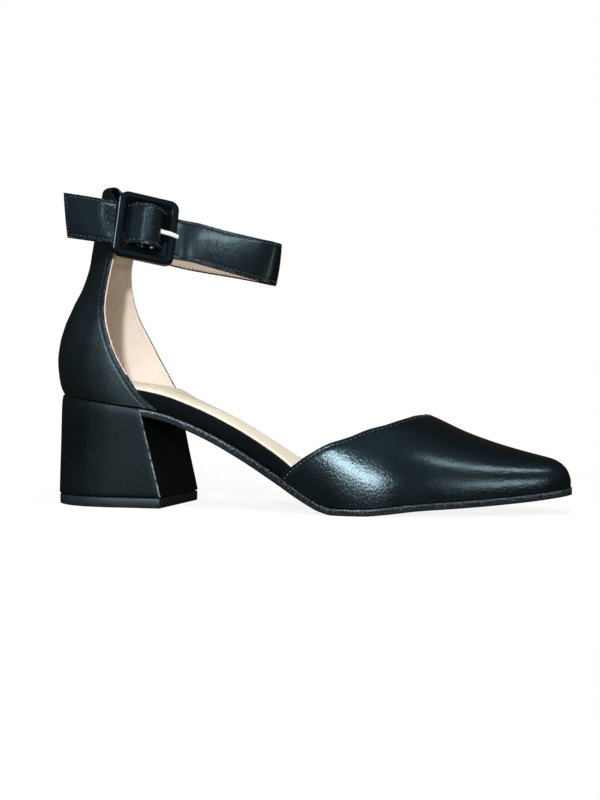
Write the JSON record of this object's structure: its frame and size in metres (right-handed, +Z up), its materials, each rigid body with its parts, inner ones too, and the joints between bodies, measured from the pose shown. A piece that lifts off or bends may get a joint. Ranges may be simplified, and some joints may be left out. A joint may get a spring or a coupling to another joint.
{
  "type": "block heel ankle strap pump",
  "caption": "Closed-toe leather pump with separate vamp and counter, block heel and a wide ankle strap fastened by a square buckle.",
  "frame": {"origin": "middle of the bounding box in plan, on the floor plane", "axes": "+X towards the toe, +Y to the inner side of the foot, +Z up"},
  "size_m": [0.2536, 0.0802, 0.157],
  "materials": {
    "vamp_leather": "blue-black, polished satin with fine grain",
    "counter_leather": "blue-black, polished satin with fine grain",
    "strap_leather": "blue-black, polished satin, stitched edges",
    "buckle_lacquer": "gloss black lacquer",
    "prong_metal": "bright plated",
    "insole_wrap": "black wrapped edge, matte",
    "sock_lining": "beige, soft matte",
    "sole_rubber": "black, speckled upper rim",
    "heel_cover": "blue-black cover on a rigid block",
    "lift_rubber": "black, matte"
  },
  "bodies": {
    "root": {"vamp": "vamp_leather", "counter": "counter_leather", "ankle_strap": "strap_leather", "buckle_frame": "buckle_lacquer", "buckle_prong": "prong_metal", "insole": "insole_wrap", "sock": "sock_lining", "outsole": "sole_rubber", "heel": "heel_cover", "top_lift": "lift_rubber"}
  },
  "joints": []
}
